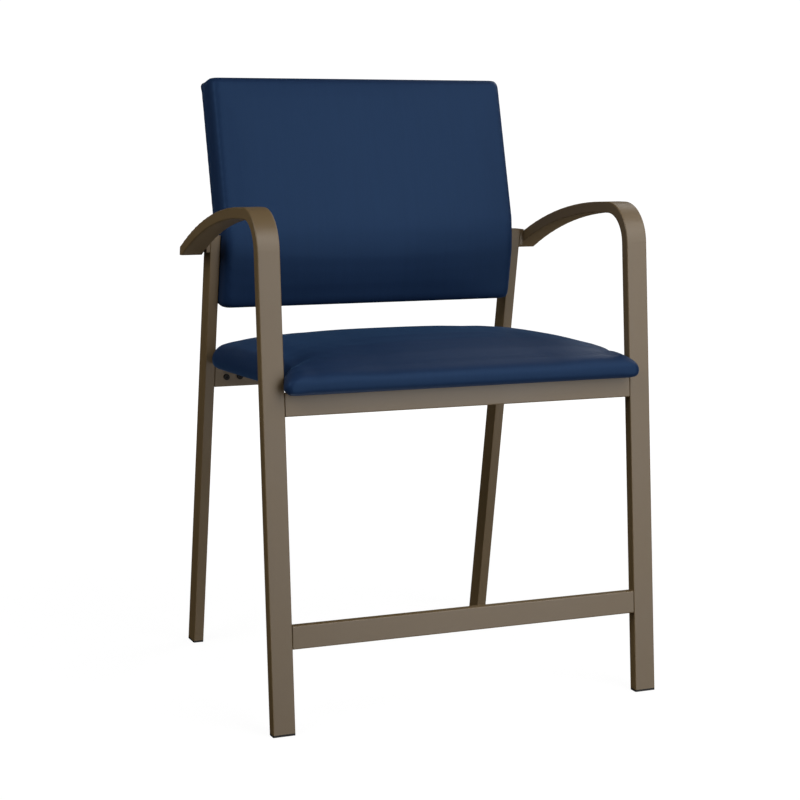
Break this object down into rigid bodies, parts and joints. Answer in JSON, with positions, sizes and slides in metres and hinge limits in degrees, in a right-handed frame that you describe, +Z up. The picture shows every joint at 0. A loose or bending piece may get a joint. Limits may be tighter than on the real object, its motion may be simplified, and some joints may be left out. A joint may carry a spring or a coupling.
{
  "type": "upholstered armchair with raised seat",
  "caption": "Steel-tube armchair with a raised padded seat, a padded back bent at the lumbar, long curved arms and a front foot rail.",
  "frame": {"origin": "on the floor, under the middle of the chair's bounding box", "axes": "+Z up, -Y the way the sitter faces, +X to the right as seen from the front"},
  "size_m": [0.6986, 0.64, 1.0568],
  "materials": {
    "frame_paint": "satin powder coat, warm grey-brown",
    "cover": "coated upholstery, navy blue, soft sheen, very fine upright grain",
    "glide_plastic": "matte black",
    "black_steel": "black oxide",
    "zinc": "zinc plated",
    "plywood": "raw plywood",
    "foam": "open-cell foam",
    "dust_cloth": "black woven cloth"
  },
  "bodies": {
    "root": {"left_arm_and_front_leg": "frame_paint", "right_arm_and_front_leg": "frame_paint", "left_arm_end_plate": "frame_paint", "right_arm_end_plate": "frame_paint", "left_rear_leg": "frame_paint", "right_rear_leg": "frame_paint", "left_rear_leg_cap": "frame_paint", "right_rear_leg_cap": "frame_paint", "left_arm_spacer": "frame_paint", "right_arm_spacer": "frame_paint", "front_seat_rail": "frame_paint", "rear_seat_rail": "frame_paint", "front_stretcher": "frame_paint", "front_rail_left_stub": "frame_paint", "front_rail_right_stub": "frame_paint", "rear_rail_left_stub": "frame_paint", "rear_rail_right_stub": "frame_paint", "stretcher_left_stub": "frame_paint", "stretcher_right_stub": "frame_paint", "front_rail_bolts": "black_steel", "rear_rail_bolts": "black_steel", "stretcher_bolts": "black_steel", "left_seat_bearer": "frame_paint", "right_seat_bearer": "frame_paint", "front_left_glide": "glide_plastic", "front_right_glide": "glide_plastic", "rear_left_glide": "glide_plastic", "rear_right_glide": "glide_plastic", "seat_board": "plywood", "seat_foam": "foam", "seat_cover": "cover", "seat_dust_cover": "dust_cloth", "seat_screws": "zinc", "seat_tee_nuts": "zinc", "back_board": "plywood", "back_foam": "foam", "back_cover": "cover", "back_rear_panel": "cover", "left_back_plate": "frame_paint", "right_back_plate": "frame_paint", "back_screws": "black_steel", "back_tee_nuts": "zinc"}
  },
  "joints": []
}
